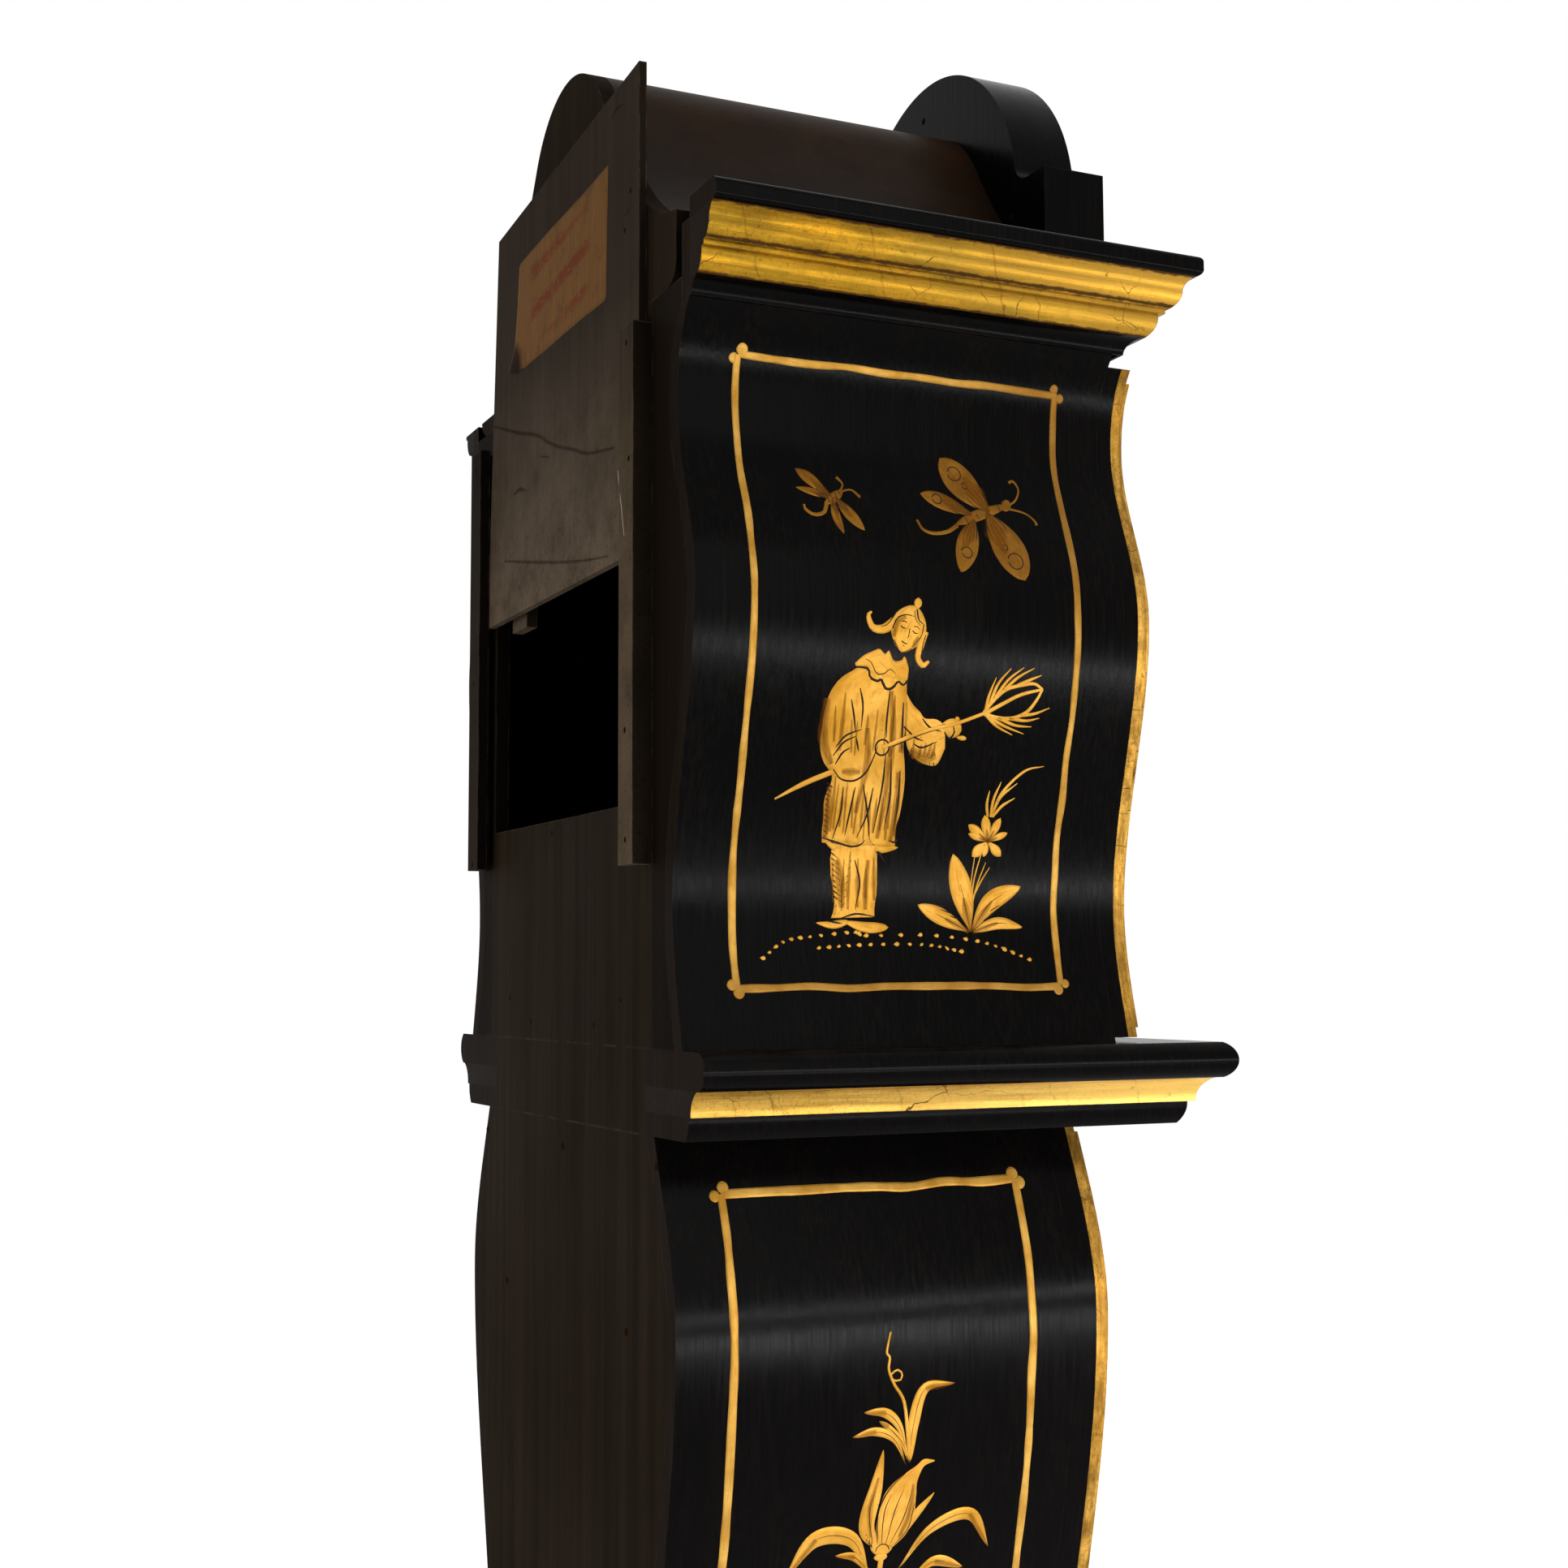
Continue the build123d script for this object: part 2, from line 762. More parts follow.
with BuildPart() as cornice_gilt_mouldings:
    fillet_low = lower_gilt_height - lower_gilt_fillet
    fillet_tip = upper_gilt_foot - upper_gilt_step
    shape = section(
        hood_top_half,
        lower_gilt_bottom,
        (0, 0),
        (lower_gilt_foot, 0),
        (lower_gilt_tip, fillet_low, 0.13),
        (fillet_tip, fillet_low),
        (fillet_tip, lower_gilt_height),
        (0, lower_gilt_height),
    )
    sweep(shape, path=cornice_path, transition=Transition.RIGHT)
    shape = section(
        hood_top_half,
        upper_gilt_bottom,
        (0, 0),
        (upper_gilt_foot, 0),
        ((upper_gilt_foot + upper_gilt_tip) / 2, upper_gilt_height / 2, 0.12),
        (upper_gilt_tip, upper_gilt_height, -0.15),
        (0, upper_gilt_height),
    )
    sweep(shape, path=cornice_path, transition=Transition.RIGHT)
    cut_far_corner(hood_top_half)
save(cornice_gilt_mouldings, "cornice_gilt_mouldings")

with BuildPart() as cornice_top_moulding:
    quarter_round = (sqrt(2) - 1) / 2
    shape = section(
        hood_top_half,
        cornice_top_bottom,
        (0, 0),
        (cornice_tip - cornice_round, 0),
        (cornice_tip, cornice_round, quarter_round),
        (cornice_tip, cornice_top_height - cornice_round),
        (cornice_tip - cornice_round, cornice_top_height, quarter_round),
        (0, cornice_top_height),
    )
    sweep(shape, path=cornice_path, transition=Transition.RIGHT)
    cut_far_corner(hood_top_half)
save(cornice_top_moulding, "cornice_top_moulding")

# ---------------------------------------------------------------- roof

pediment_half = hood_top_half - pediment_inset
pediment_radius = pediment_half - pediment_step
pediment_face = cornice_front - pediment_setback
pediment_back = pediment_face + pediment_thickness
vault_back_face = back_y - vault_back_thickness


def vault_outline(thinner, y):
    """Bell-shaped face: a round crown that runs out into two flared feet."""
    centre = cornice_top + vault_rise - vault_radius
    turn = radians(vault_turn)
    radius = vault_radius - thinner
    shoulder = (radius * sin(turn), centre + radius * cos(turn))
    pull = 0.7 * vault_radius
    lead = (shoulder[0] + pull * cos(turn), shoulder[1] - pull * sin(turn))
    foot = (hood_top_half - vault_foot_inset - 4 * thinner, cornice_top + vault_thickness / 5)
    swing = (foot[0] - 0.7 * vault_radius, foot[1] + 0.12 * vault_radius - thinner / 2)
    with BuildSketch(upright(y)) as face:
        with BuildLine():
            ThreePointArc((0, centre + radius), (radius * sin(turn / 2), centre + radius * cos(turn / 2)),
                          shoulder)
            Bezier(shoulder, lead, swing, foot)
            Polyline(foot, (foot[0], cornice_top), (0, cornice_top), (0, centre + radius))
        make_face()
        mirror(about=Plane.YZ)
    return face.sketch


with BuildPart() as vault:
    depth = vault_back_face - pediment_back
    extrude(vault_outline(0, vault_back_face), amount=depth)
    extrude(vault_outline(vault_thickness, vault_back_face), amount=depth, mode=Mode.SUBTRACT)
    cut_far_corner(rail_gap_half)
save(vault, "vault")

with BuildPart() as vault_back:
    extrude(vault_outline(0, back_y), amount=vault_back_thickness)
    with BuildSketch(upright(back_y)) as apron:
        with Locations((0, vault_back_low + vault_back_drop / 2)):
            Rectangle(2 * (hood_top_half - vault_back_inset), vault_back_drop)
        fillet(apron.vertices().group_by(Axis.Y)[0], vault_back_corner)
    extrude(amount=vault_back_thickness)
    cut_far_corner(rail_gap_half)
save(vault_back, "vault_back")

with BuildPart() as pediment:
    with BuildSketch(upright(pediment_back)) as front_shape:
        with Locations((0, cornice_top + pediment_shoulder / 2)):
            Rectangle(2 * pediment_half, pediment_shoulder)
        with Locations((0, cornice_top + pediment_rise - pediment_radius)):
            Circle(pediment_radius)
        with Locations((0, cornice_top + pediment_rise)):
            Rectangle(4 * pediment_half, 2 * pediment_rise, mode=Mode.INTERSECT)
        corners = front_shape.vertices().filter_by(
            lambda v: abs(v.Y - cornice_top - pediment_shoulder) < 1 and abs(v.X) < pediment_half - 1
        )
        fillet(corners, pediment_fillet)
    extrude(amount=pediment_thickness)
save(pediment, "pediment")

# ---------------------------------------------------------------- sliding back panel

panel_low = hood_bottom + panel_low_rise
panel_left = hatch_x - rail_gap_half - groove_depth + slide_play
panel_right = hatch_x + rail_gap_half + panel_right_lap
panel_inner = back_y + slide_play

with BuildPart() as back_panel:
    with BuildSketch(upright(panel_inner + panel_thickness)):
        with BuildLine():
            Polyline(
                (panel_left, panel_low),
                (panel_right, panel_low),
                (panel_right - panel_lean, panel_low + panel_right_height),
                (panel_left, panel_low + panel_left_height),
                close=True,
            )
        make_face()
    extrude(amount=panel_thickness)
    for side in (-1, 1):
        outer = hatch_x + side * (hatch_half - tongue_inset)
        across = sorted((outer, outer - side * tongue_width))
        spacer_back = back_y - back_board - slide_play
        block(across, (spacer_back, panel_inner), (panel_low + tongue_rise, panel_low + tongue_height))
        plate = (spacer_back - tongue_thickness, spacer_back)
        block(across, plate, (panel_low - tongue_hang, panel_low + tongue_height))
save(back_panel, "back_panel")

# ---------------------------------------------------------------- hinges


def fixed_leaf(x, y, z, board):
    """Leaf on a board's face at y=board, with outer knuckles and the pin on the upright axis (x, y)."""
    joint = knuckle_half + knuckle_play
    block((x, x + leaf_width), (board - leaf_thickness, board), (z - hinge_half, z + hinge_half))
    with Locations((x, y, z)):
        Cylinder(knuckle_radius, 2 * hinge_half)
    gap = knuckle_radius + knuckle_play
    block((x - gap, x + leaf_width), (y - gap, board), (z - joint, z + joint), mode=Mode.SUBTRACT)
    with Locations((x, y, z)):
        Cylinder(pin_radius, 2 * hinge_half)


def moving_arm(x, y, z, reach, play=0.0, mode=Mode.ADD):
    """Arm from the knuckle on axis (x, y) into a door's edge; play widens it to cut its mortise."""
    half = knuckle_half + play
    thickness = arm_thickness / 2 + play
    block((reach - play, x), (y - thickness, y + thickness), (z - half, z + half), mode=mode)


def moving_knuckle(x, y, z, reach):
    moving_arm(x, y, z, reach)
    with Locations((x, y, z)):
        Cylinder(knuckle_radius, 2 * knuckle_half)
        Cylinder(pin_radius + running, 2 * knuckle_half, mode=Mode.SUBTRACT)


door_widest = max(point[0] for curve in trunk_edge[:2] for point in curve) - door_inset
trunk_axis_x = door_widest + knuckle_radius + hinge_margin
trunk_axis_y = trunk_board_face - knuckle_radius
lower_hinge = door_low + 1.7 * hinge_half
upper_hinge = trunk_bottom + trunk_belly_share * trunk_height
trunk_hinges = [
    (level, half_width(trunk_edge, level, door_inset) - arm_bite) for level in (lower_hinge, upper_hinge)
]
bezel_axis_x = bezel_outer + knuckle_radius + hinge_margin
bezel_axis_y = hood_board_face - knuckle_radius
bezel_bite = bezel_outer - arm_bite

with BuildPart() as case_hinge_leaves:
    for level, _ in trunk_hinges:
        fixed_leaf(trunk_axis_x, trunk_axis_y, level, trunk_board_face)
    fixed_leaf(bezel_axis_x, bezel_axis_y, dial_z, hood_board_face)
save(case_hinge_leaves, "case_hinge_leaves")

with BuildPart() as trunk_door_knuckles:
    for level, reach in trunk_hinges:
        moving_knuckle(trunk_axis_x, trunk_axis_y, level, reach)
save(trunk_door_knuckles, "trunk_door_knuckles")

with BuildPart() as bezel_knuckle:
    moving_knuckle(bezel_axis_x, bezel_axis_y, dial_z, bezel_bite)
save(bezel_knuckle, "bezel_knuckle")

# ---------------------------------------------------------------- bezel and glass

bezel_face = hood_board_face - bezel_depth

with BuildPart() as bezel:
    spindle((0, dial_z), bezel_outer, hood_board_face, bezel_face)
    chamfer(bezel.faces().sort_by(Axis.Y)[0].edges(), bezel_depth / 4)
    spindle((0, dial_z), bezel_inner, hood_board_face, bezel_face, mode=Mode.SUBTRACT)
    rebate = hood_board_face - glass_rebate
    spindle((0, dial_z), glass_radius + seat, hood_board_face, rebate, mode=Mode.SUBTRACT)
    knob_x = -(bezel_outer + bezel_inner) / 2
    spindle((knob_x, dial_z), knob_radius, bezel_face, bezel_face - knob_length)
    fillet(bezel.faces().sort_by(Axis.Y)[0].edges(), knob_radius / 2)
    moving_arm(bezel_axis_x, bezel_axis_y, dial_z, bezel_bite, seat, Mode.SUBTRACT)
save(bezel, "bezel")

with BuildPart() as dial_glass:
    spindle((0, dial_z), glass_radius, rebate + glass_thickness, rebate)
save(dial_glass, "dial_glass")

# ---------------------------------------------------------------- trunk door, lock and key

lock_z = trunk_bottom + lock_rise
lock_edge = min(
    half_width(trunk_edge, lock_z + way * lock_half_height, door_inset + door_lap) for way in (-1, 1)
)
lock_x = lock_half + lock_gap - lock_edge
key_place = (lock_x, lock_z)

with BuildPart() as trunk_door:
    extrude(outline(trunk_edge, door_inset, door_low, door_high, trunk_board_face), amount=door_thickness)
    spindle(key_place, key_radius + slide_play, trunk_board_face, door_face, mode=Mode.SUBTRACT)
    for level, reach in trunk_hinges:
        moving_arm(trunk_axis_x, trunk_axis_y, level, reach, seat, Mode.SUBTRACT)
save(trunk_door, "trunk_door")

with BuildPart() as trunk_door_moulding:
    frame = outline(trunk_edge, door_inset, door_low, door_high, door_face)
    extrude(frame, amount=door_gilt_thickness)
    chamfer(trunk_door_moulding.faces().sort_by(Axis.Y)[0].edges(), gilt_bevel)
    inner_inset = door_inset + door_gilt_width
    hole = outline(trunk_edge, inner_inset, door_low + door_gilt_width, door_high - door_gilt_width, door_face)
    extrude(hole, amount=door_gilt_thickness, mode=Mode.SUBTRACT)
save(trunk_door_moulding, "trunk_door_moulding")

bolt_front = trunk_face + bolt_behind
lock_back = bolt_front + bolt_thickness + slide_play + lock_plate
bolt_out = lock_x - lock_half

with BuildPart() as lock:
    sides = (lock_x - lock_half, lock_x + lock_half)
    levels = (lock_z - lock_half_height, lock_z + lock_half_height)
    block(sides, (trunk_board_face, lock_back), levels)
    inner_sides = (sides[0] + lock_plate, sides[1] - lock_plate)
    inner_levels = (levels[0] + lock_plate, levels[1] - lock_plate)
    inner_depth = (trunk_board_face + lock_plate, lock_back - lock_plate)
    block(inner_sides, inner_depth, inner_levels, mode=Mode.SUBTRACT)
    spindle(key_place, key_radius + slide_play, inner_depth[0], trunk_board_face, mode=Mode.SUBTRACT)
    slot_depth = (bolt_front - slide_play, bolt_front + bolt_thickness + slide_play)
    slot_half = bolt_half_height + slide_play
    slot_levels = (lock_z - slot_half, lock_z + slot_half)
    block((sides[0], sides[0] + lock_plate), slot_depth, slot_levels, mode=Mode.SUBTRACT)
    block(
        (lock_x - scutcheon_half, lock_x + scutcheon_half),
        (door_face - scutcheon_thickness, door_face),
        (lock_z - scutcheon_half_height, lock_z + scutcheon_half_height),
    )
    plate_edges = lock.edges().filter_by(Axis.Y).filter_by(
        lambda edge: edge.center().Y < door_face and abs(edge.center().X - lock_x) < lock_half
    )
    fillet(plate_edges, scutcheon_half / 2)
    spindle(key_place, key_radius + slide_play, door_face, door_face - scutcheon_thickness, mode=Mode.SUBTRACT)
save(lock, "lock")

with BuildPart() as lock_bolt:
    block(
        (bolt_out, bolt_out + bolt_length),
        (bolt_front, bolt_front + bolt_thickness),
        (lock_z - bolt_half_height, lock_z + bolt_half_height),
    )
save(lock_bolt, "lock_bolt")

with BuildPart() as trunk_key:
    bow_face = door_face - key_reach
    shaft_end = trunk_board_face + lock_plate + slide_play + key_bit_width + slide_play
    spindle(key_place, key_radius, shaft_end, bow_face)
    bit_depth = (shaft_end - key_bit_width, shaft_end)
    block((lock_x - 1, lock_x + 1), bit_depth, (lock_z - key_radius - key_bit_length, lock_z))
    with BuildSketch(Plane.YZ.offset(lock_x - key_bow_thickness / 2)):
        with Locations((bow_face - key_bow_radius + 2, lock_z)):
            Circle(key_bow_radius)
            Circle(key_bow_hole, mode=Mode.SUBTRACT)
    extrude(amount=key_bow_thickness)
save(trunk_key, "trunk_key")

# ---------------------------------------------------------------- movement frame

plate_inner = plate_front + plate_thickness
plate_back_inner = plate_inner + plate_spacing
plate_back = plate_back_inner + plate_thickness
plate_low = dial_z + plate_low_rise
plate_top = dial_z + plate_top_rise

great_radius = great_module * (great_teeth + pinion_leaves) / 2 + mesh_play
third_distance = centre_module * (centre_teeth + pinion_leaves) / 2 + mesh_play
escape_distance = third_module * (third_teeth + pinion_leaves) / 2 + mesh_play
barrel_dx = great_radius * cos(radians(barrel_angle))
barrel_dz = great_radius * sin(radians(barrel_angle))

centre_place = (0.0, dial_z)
time_place = (-barrel_dx, dial_z - barrel_dz)
strike_place = (barrel_dx, dial_z - barrel_dz)
escape_place = (0.0, dial_z + escape_rise)
third_drop = (escape_rise**2 + third_distance**2 - escape_distance**2) / (2 * escape_rise)
third_place = (sqrt(third_distance**2 - third_drop**2), dial_z + third_drop)
anchor_place = (0.0, escape_place[1] + anchor_rise)
hammer_place = (hammer_x, dial_z + hammer_rise)

thin_arbor = arbor_radius - 0.5
pivots = [
    (centre_place, arbor_radius),
    (time_place, barrel_arbor),
    (strike_place, barrel_arbor),
    (third_place, thin_arbor),
    (escape_place, thin_arbor),
    (anchor_place, anchor_arbor),
    (hammer_place, thin_arbor),
]

with BuildPart() as movement_frame:
    for front, back in ((plate_front, plate_inner), (plate_back_inner, plate_back)):
        block((-plate_half, plate_half), (front, back), (plate_low, plate_top))
        for place, radius in pivots:
            spindle(place, radius + running, back, front, mode=Mode.SUBTRACT)
    for side in (-1, 1):
        for level in (plate_low + pillar_inset, plate_top - pillar_inset):
            spindle((side * (plate_half - pillar_inset), level), pillar_radius, plate_back_inner, plate_inner)
    bridge = plate_back + cock_reach
    levels = (anchor_place[1] - cock_half_height, anchor_place[1] + cock_half_height)
    for side in (-1, 1):
        block(sorted((side * cock_half, side * (cock_half - cock_leg))), (plate_back, bridge), levels)
    block((-cock_half, cock_half), (bridge - cock_bridge, bridge), levels)
    spindle(anchor_place, anchor_arbor, bridge, rod_y - rod_thickness / 2 - 1)
save(movement_frame, "movement_frame")

seat_top = plate_low
seat_bottom = seat_top - seat_board_thickness
line_x = barrel_dx + drum_radius + line_radius + seat
drum_back = plate_inner + drum_start
line_y = drum_back + strike_drum_length / 2

with BuildPart() as seat_board:
    cheek_low = seat_bottom - cheek_height
    shape = outline(hood_edge, side_wall, cheek_low, seat_top, seat_board_back)
    extrude(shape, amount=seat_board_back - seat_board_front)
    inner_half = half_width(hood_edge, hood_bottom + hood_waist_rise, side_wall) - cheek_width
    depth = (seat_board_front, seat_board_back)
    block((-inner_half, inner_half), depth, (cheek_low, seat_bottom), mode=Mode.SUBTRACT)
    for side in (-1, 1):
        with Locations((side * line_x, line_y, (seat_bottom + seat_top) / 2)):
            Cylinder(8 * line_radius, seat_board_thickness, mode=Mode.SUBTRACT)
save(seat_board, "seat_board")

dial_face = hood_face + dial_behind
with BuildPart() as dial:
    spindle(centre_place, dial_radius, dial_face + dial_thickness, dial_face)
    for place in (centre_place, time_place, strike_place):
        spindle(place, dial_hole, dial_face + dial_thickness, dial_face, mode=Mode.SUBTRACT)
    for angle in (90, 210, 330):
        reach = 0.85 * plate_half
        foot = (reach * cos(radians(angle)), dial_z + reach * sin(radians(angle)))
        spindle(foot, dial_foot_radius, plate_front, dial_face + dial_thickness)
save(dial, "dial")

# ---------------------------------------------------------------- barrels and train

half_pitch = pi / pinion_leaves
great_y = plate_inner + great_plane
centre_y = plate_inner + centre_plane
third_y = plate_inner + third_plane
escape_y = plate_inner + escape_plane
arbor_end = plate_back - pivot_end
to_centre = atan2(centre_place[1] - time_place[1], centre_place[0] - time_place[0])
to_third = atan2(third_place[1] - centre_place[1], third_place[0] - centre_place[0])
to_escape = atan2(escape_place[1] - third_place[1], escape_place[0] - third_place[0])
strike_wheel_y = drum_back + strike_drum_length + strike_wheel_gap + wheel_thickness

barrels = (
    ("time_barrel", time_place, time_drum_length, great_y + wheel_thickness / 2),
    ("strike_barrel", strike_place, strike_drum_length, strike_wheel_y),
)
for name, place, drum_length, wheel_back in barrels:
    with BuildPart() as barrel:
        spindle(place, barrel_arbor, arbor_end, dial_face + dial_thickness)
        block(
            (place[0] - square_half, place[0] + square_half),
            (dial_face, dial_face + dial_thickness),
            (place[1] - square_half, place[1] + square_half),
        )
        spindle(place, drum_radius, drum_back + drum_length, drum_back)
        extrude(wheel_face(place, great_module, great_teeth, to_centre, wheel_back), amount=wheel_thickness)
        spindle(place, 2 * barrel_arbor, wheel_back, drum_back)
        wheel_front = wheel_back - wheel_thickness
        if wheel_front < drum_back:
            spindle(place, 2 * barrel_arbor, drum_back, wheel_front)
    save(barrel, name)

with BuildPart() as centre_wheel:
    spindle(centre_place, arbor_radius, arbor_end, dial_face - minute_ahead - hand_thickness)
    extrude(
        wheel_face(centre_place, centre_module, centre_teeth, to_third, centre_y + wheel_thickness / 2),
        amount=wheel_thickness,
    )
    rim = centre_module * centre_teeth / 2 - rim_width
    crossings(centre_place, rim, wheel_hub, spoke_width, centre_y + wheel_thickness, centre_y - wheel_thickness)
    leaves = pinion_face(centre_place, great_module, to_centre + pi + half_pitch, great_y + pinion_length / 2)
    extrude(leaves, amount=pinion_length)
save(centre_wheel, "centre_wheel")

with BuildPart() as third_wheel:
    spindle(third_place, thin_arbor, arbor_end, plate_front + pivot_end)
    extrude(
        wheel_face(third_place, third_module, third_teeth, to_escape, third_y + wheel_thickness / 2),
        amount=wheel_thickness,
    )
    rim = third_module * third_teeth / 2 - rim_width
    crossings(third_place, rim, wheel_hub, spoke_width, third_y + wheel_thickness, third_y - wheel_thickness)
    leaves = pinion_face(third_place, centre_module, to_third + pi + half_pitch, centre_y + pinion_length / 2)
    extrude(leaves, amount=pinion_length)
save(third_wheel, "third_wheel")

with BuildPart() as escape_wheel:
    spindle(escape_place, thin_arbor, arbor_end, plate_front + pivot_end)
    root = 0.84 * escape_radius
    extrude(
        toothed(escape_place, escape_teeth, root, escape_radius, 0.3, 0.05, 0, escape_y + escape_thickness / 2),
        amount=escape_thickness,
    )
    rim = root - rim_width
    crossings(escape_place, rim, wheel_hub, spoke_width, escape_y + wheel_thickness, escape_y - wheel_thickness)
    leaves = pinion_face(escape_place, third_module, to_escape + pi + half_pitch, third_y + pinion_length / 2)
    extrude(leaves, amount=pinion_length)
save(escape_wheel, "escape_wheel")

# ---------------------------------------------------------------- anchor and pendulum

crutch_y = plate_back + crutch_back
bow_inner = escape_radius + pallet_gap
bow_outer = bow_inner + pallet_width

with BuildPart() as anchor:
    spindle(anchor_place, anchor_arbor, crutch_y + crutch_thickness / 2, plate_front + pivot_end)
    with BuildSketch(upright(escape_y + pallet_thickness / 2)):
        with BuildLine():
            reach = radians(90 - pallet_reach)
            ends = []
            for radius in (bow_inner, bow_outer):
                left = (-radius * cos(reach), escape_place[1] + radius * sin(reach))
                right = (radius * cos(reach), escape_place[1] + radius * sin(reach))
                ThreePointArc(left, (0, escape_place[1] + radius), right)
                ends.append((left, right))
            Line(ends[0][0], ends[1][0])
            Line(ends[0][1], ends[1][1])
        make_face()
    extrude(amount=pallet_thickness)
    hub_depth = (escape_y - pallet_thickness / 2, escape_y + pallet_thickness / 2)
    spindle(anchor_place, 3 * anchor_arbor, hub_depth[1], hub_depth[0])
    bow_top = escape_place[1] + bow_inner + 1
    block((-2 * anchor_arbor, 2 * anchor_arbor), hub_depth, (bow_top, anchor_place[1]))
    crutch_depth = (crutch_y - crutch_thickness / 2, crutch_y + crutch_thickness / 2)
    fork_z = anchor_place[1] - crutch_length
    block((-crutch_half, crutch_half), crutch_depth, (fork_z, anchor_place[1]))
    spindle(anchor_place, crutch_half, crutch_depth[1], crutch_depth[0])
    prong_inner = rod_half + fork_gap
    prong_outer = prong_inner + fork_prong
    fork_levels = (fork_z, fork_z + 2 * crutch_half)
    block((-prong_outer, prong_outer), crutch_depth, fork_levels)
    for side in (-1, 1):
        prong = sorted((side * prong_inner, side * prong_outer))
        block(prong, (crutch_depth[0], rod_y + rod_thickness), fork_levels)
save(anchor, "anchor")

rod_depth = (rod_y - rod_thickness / 2, rod_y + rod_thickness / 2)
bob_z = anchor_place[1] - pendulum_length

with BuildPart() as pendulum_rod:
    block((-rod_half, rod_half), rod_depth, (bob_z - rod_tail, anchor_place[1]))
    spindle(anchor_place, eye_radius, rod_depth[1], rod_depth[0])
    spindle(anchor_place, anchor_arbor + running, rod_depth[1], rod_depth[0], mode=Mode.SUBTRACT)
    nut_top = bob_z - bob_radius
    with Locations((0, rod_y, nut_top - nut_height / 2)):
        Cylinder(nut_radius, nut_height)
save(pendulum_rod, "pendulum_rod")

with BuildPart() as pendulum_bob:
    lens = (bob_radius**2 + bob_half**2) / (2 * bob_half)
    quarter = asin(bob_radius / lens) / 2
    belly = lens * cos(quarter) - (lens - bob_half)
    rise = bob_z + lens * sin(quarter)
    with BuildSketch(Plane.YZ):
        with BuildLine():
            ThreePointArc((rod_y - bob_half, bob_z), (rod_y - belly, rise), (rod_y, bob_z + bob_radius))
            ThreePointArc((rod_y, bob_z + bob_radius), (rod_y + belly, rise), (rod_y + bob_half, bob_z))
            Line((rod_y + bob_half, bob_z), (rod_y - bob_half, bob_z))
        make_face()
    revolve(axis=Axis((0, rod_y, bob_z), (0, 1, 0)))
    slot = rod_half + seat
    slot_depth = (rod_depth[0] - seat, rod_depth[1] + seat)
    block((-slot, slot), slot_depth, (bob_z - bob_radius, bob_z + bob_radius), mode=Mode.SUBTRACT)
save(pendulum_bob, "pendulum_bob")

# ---------------------------------------------------------------- bell and hammer

bell_z = dial_z + bell_rise
stand_y = plate_inner + plate_spacing / 2
bell_top = bell_z + bell_radius

with BuildPart() as bell:
    with BuildSketch(Plane.XZ.offset(-stand_y)):
        with BuildLine():
            inner = bell_radius - bell_wall
            ThreePointArc((0, bell_top), (bell_radius * sqrt(0.5), bell_z + bell_radius * sqrt(0.5)),
                          (bell_radius, bell_z))
            Line((bell_radius, bell_z), (inner, bell_z))
            ThreePointArc((inner, bell_z), (inner * sqrt(0.5), bell_z + inner * sqrt(0.5)), (0, bell_z + inner))
            Line((0, bell_z + inner), (0, bell_top))
        make_face()
    revolve(axis=Axis((0, stand_y, bell_z), (0, 0, 1)))
    with Locations((0, stand_y, bell_z + inner)):
        Cylinder(stem_radius + seat, 4 * bell_wall, mode=Mode.SUBTRACT)
    block((-stand_half, stand_half), (plate_front, plate_back), (plate_top, plate_top + stand_thickness))
    stem_top = bell_top + 2 * bell_wall
    with Locations((0, stand_y, (plate_top + stem_top) / 2)):
        Cylinder(stem_radius, stem_top - plate_top)
    collar = bell_z + inner - 2 * bell_wall
    with Locations((0, stand_y, collar)):
        Cylinder(2 * stem_radius, 2 * bell_wall)
    with Locations((0, stand_y, stem_top)):
        Cylinder(1.6 * stem_radius, 1.5 * bell_wall)
save(bell, "bell")

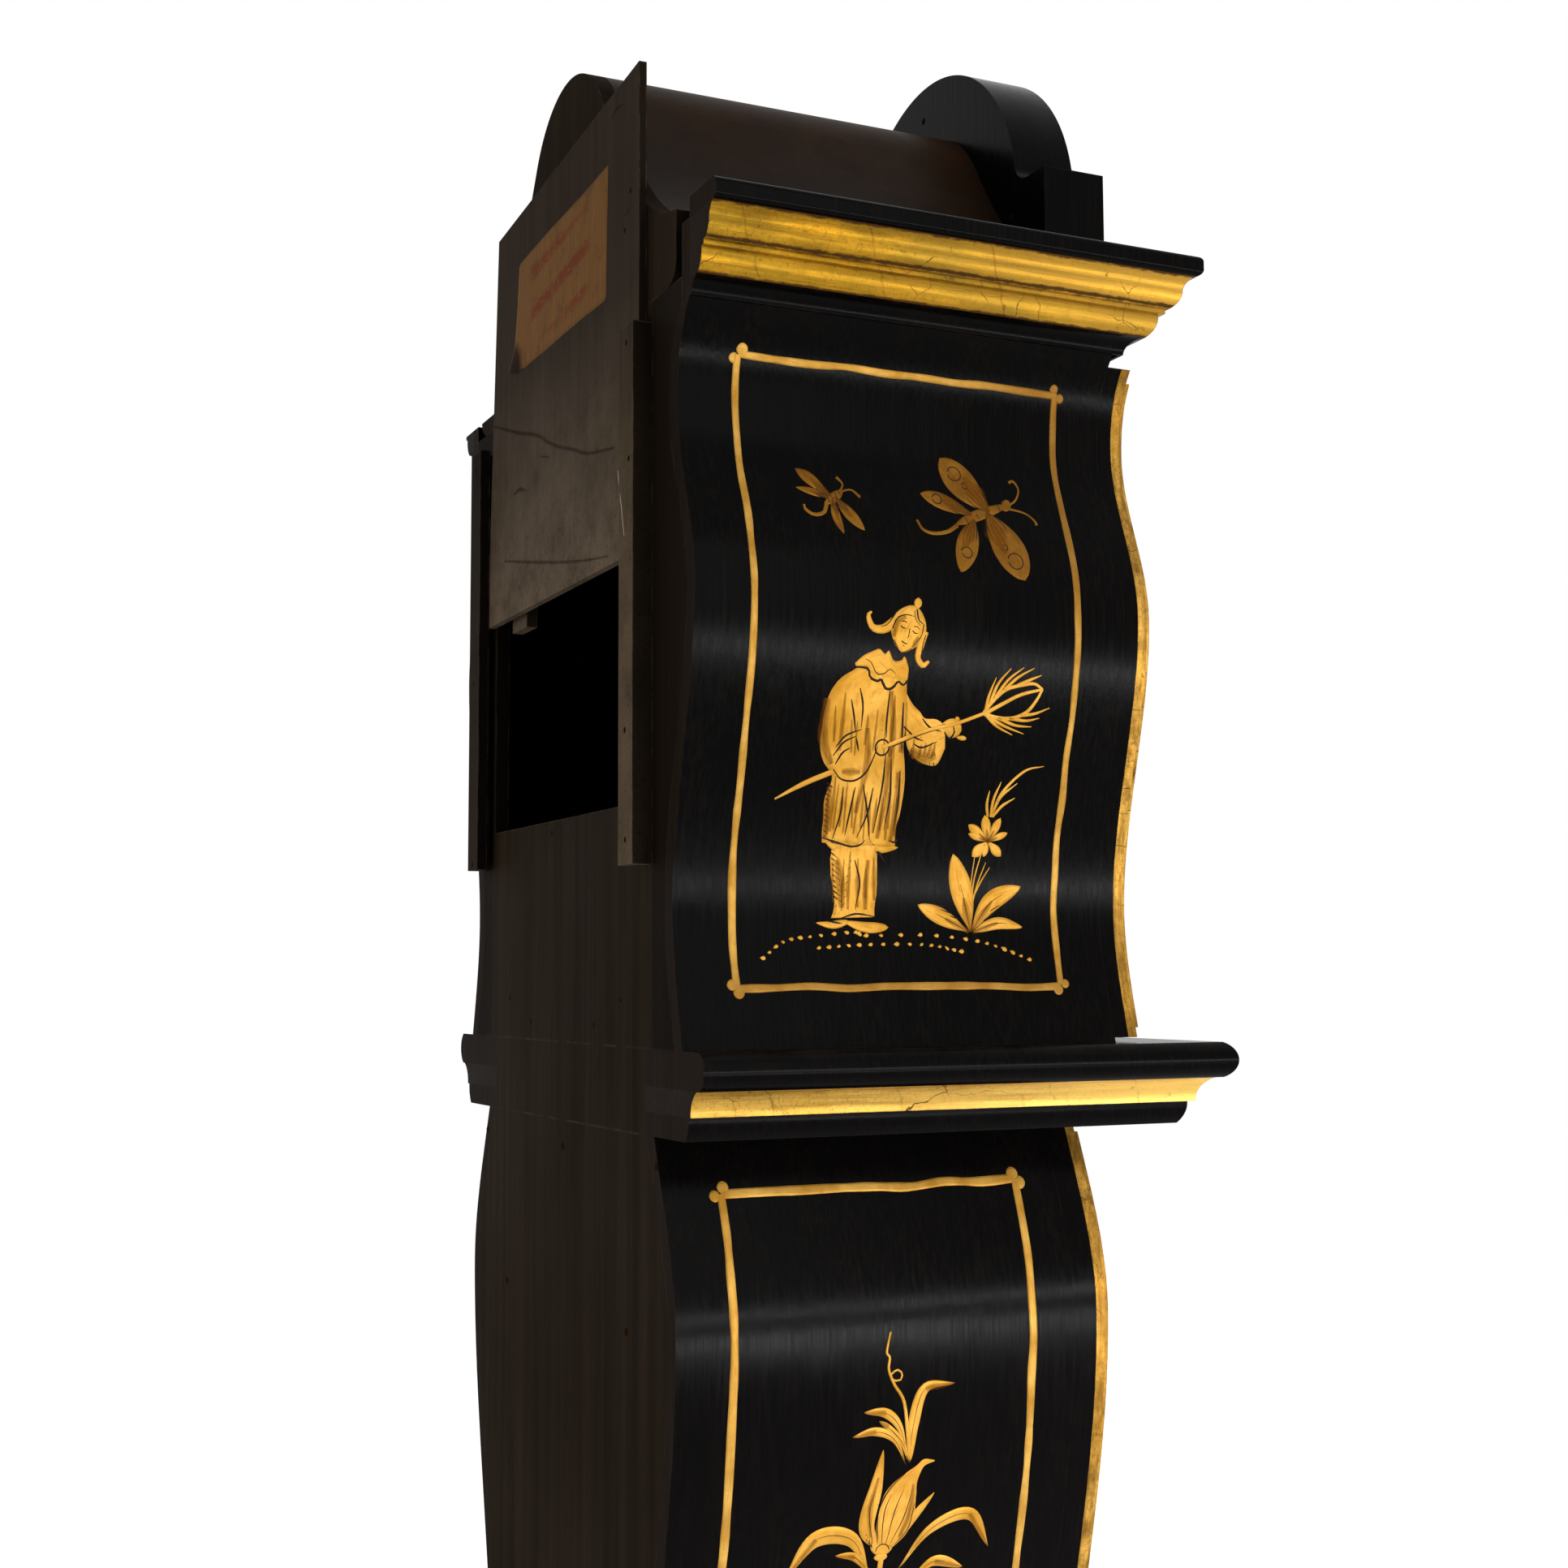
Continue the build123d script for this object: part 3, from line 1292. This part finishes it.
with BuildPart() as hammer:
    spindle(hammer_place, thin_arbor, arbor_end, plate_front + pivot_end)
    strike_x = bell_radius + hammer_gap + hammer_head
    strike_z = bell_z + hammer_head
    block(
        (hammer_x - hammer_arm, hammer_x + hammer_arm),
        (stand_y - hammer_arm, stand_y + hammer_arm),
        (hammer_place[1], strike_z),
    )
    spindle(hammer_place, 2 * thin_arbor, stand_y + 2 * hammer_arm, stand_y - 2 * hammer_arm)
    with Locations((strike_x, stand_y, strike_z)):
        Cylinder(hammer_head, 2 * hammer_head, rotation=(0, 90, 0))
save(hammer, "hammer")

# ---------------------------------------------------------------- hands

minute_back = dial_face - minute_ahead
hour_back = dial_face - hour_ahead
minute_length = dial_opening - minute_margin
hour_length = hour_share * minute_length


def hand_shape(length, y):
    """Slim pointed hand with a round hub and a short tail."""
    with BuildSketch(upright(y)) as face:
        with Locations((0, dial_z)):
            Circle(hand_hub)
        with BuildLine():
            tail = dial_z - 3 * hand_hub
            swell_z = dial_z + 0.72 * length
            Polyline(
                (-hand_tip, tail),
                (hand_tip, tail),
                (hand_tip, dial_z + hand_hub),
                (hand_root, swell_z),
                (0, dial_z + length),
                (-hand_root, swell_z),
                (-hand_tip, dial_z + hand_hub),
                close=True,
            )
        make_face()
    return face.sketch


with BuildPart() as minute_hand:
    extrude(hand_shape(minute_length, minute_back), amount=hand_thickness)
    spindle(centre_place, arbor_radius + running, minute_back, minute_back - hand_thickness, mode=Mode.SUBTRACT)
save(minute_hand, "minute_hand")

with BuildPart() as hour_hand:
    extrude(hand_shape(hour_length, hour_back), amount=hand_thickness)
    pipe_bore = arbor_radius + 2 * running
    pipe_back = plate_front - slide_play
    spindle(centre_place, pipe_bore + pipe_wall, pipe_back, hour_back)
    spindle(centre_place, pipe_bore, pipe_back, hour_back - hand_thickness, mode=Mode.SUBTRACT)
save(hour_hand, "hour_hand")

# ---------------------------------------------------------------- weights and lines

hook_top = trunk_bottom + weight_top_rise

for side, kind in ((-1, "time"), (1, "strike")):
    with BuildPart() as weight:
        body_top = hook_top - hook_height
        with Locations((side * line_x, line_y, body_top - weight_height / 2)):
            Cylinder(weight_radius, weight_height)
        fillet(weight.edges().filter_by(GeomType.CIRCLE), weight_round)
        with Locations((side * line_x, line_y, hook_top - hook_height / 2)):
            Cylinder(hook_radius, hook_height)
    save(weight, f"{kind}_weight")
    with BuildPart() as line:
        with Locations((side * line_x, line_y, (hook_top + time_place[1]) / 2)):
            Cylinder(line_radius, time_place[1] - hook_top)
    save(line, f"{kind}_line")
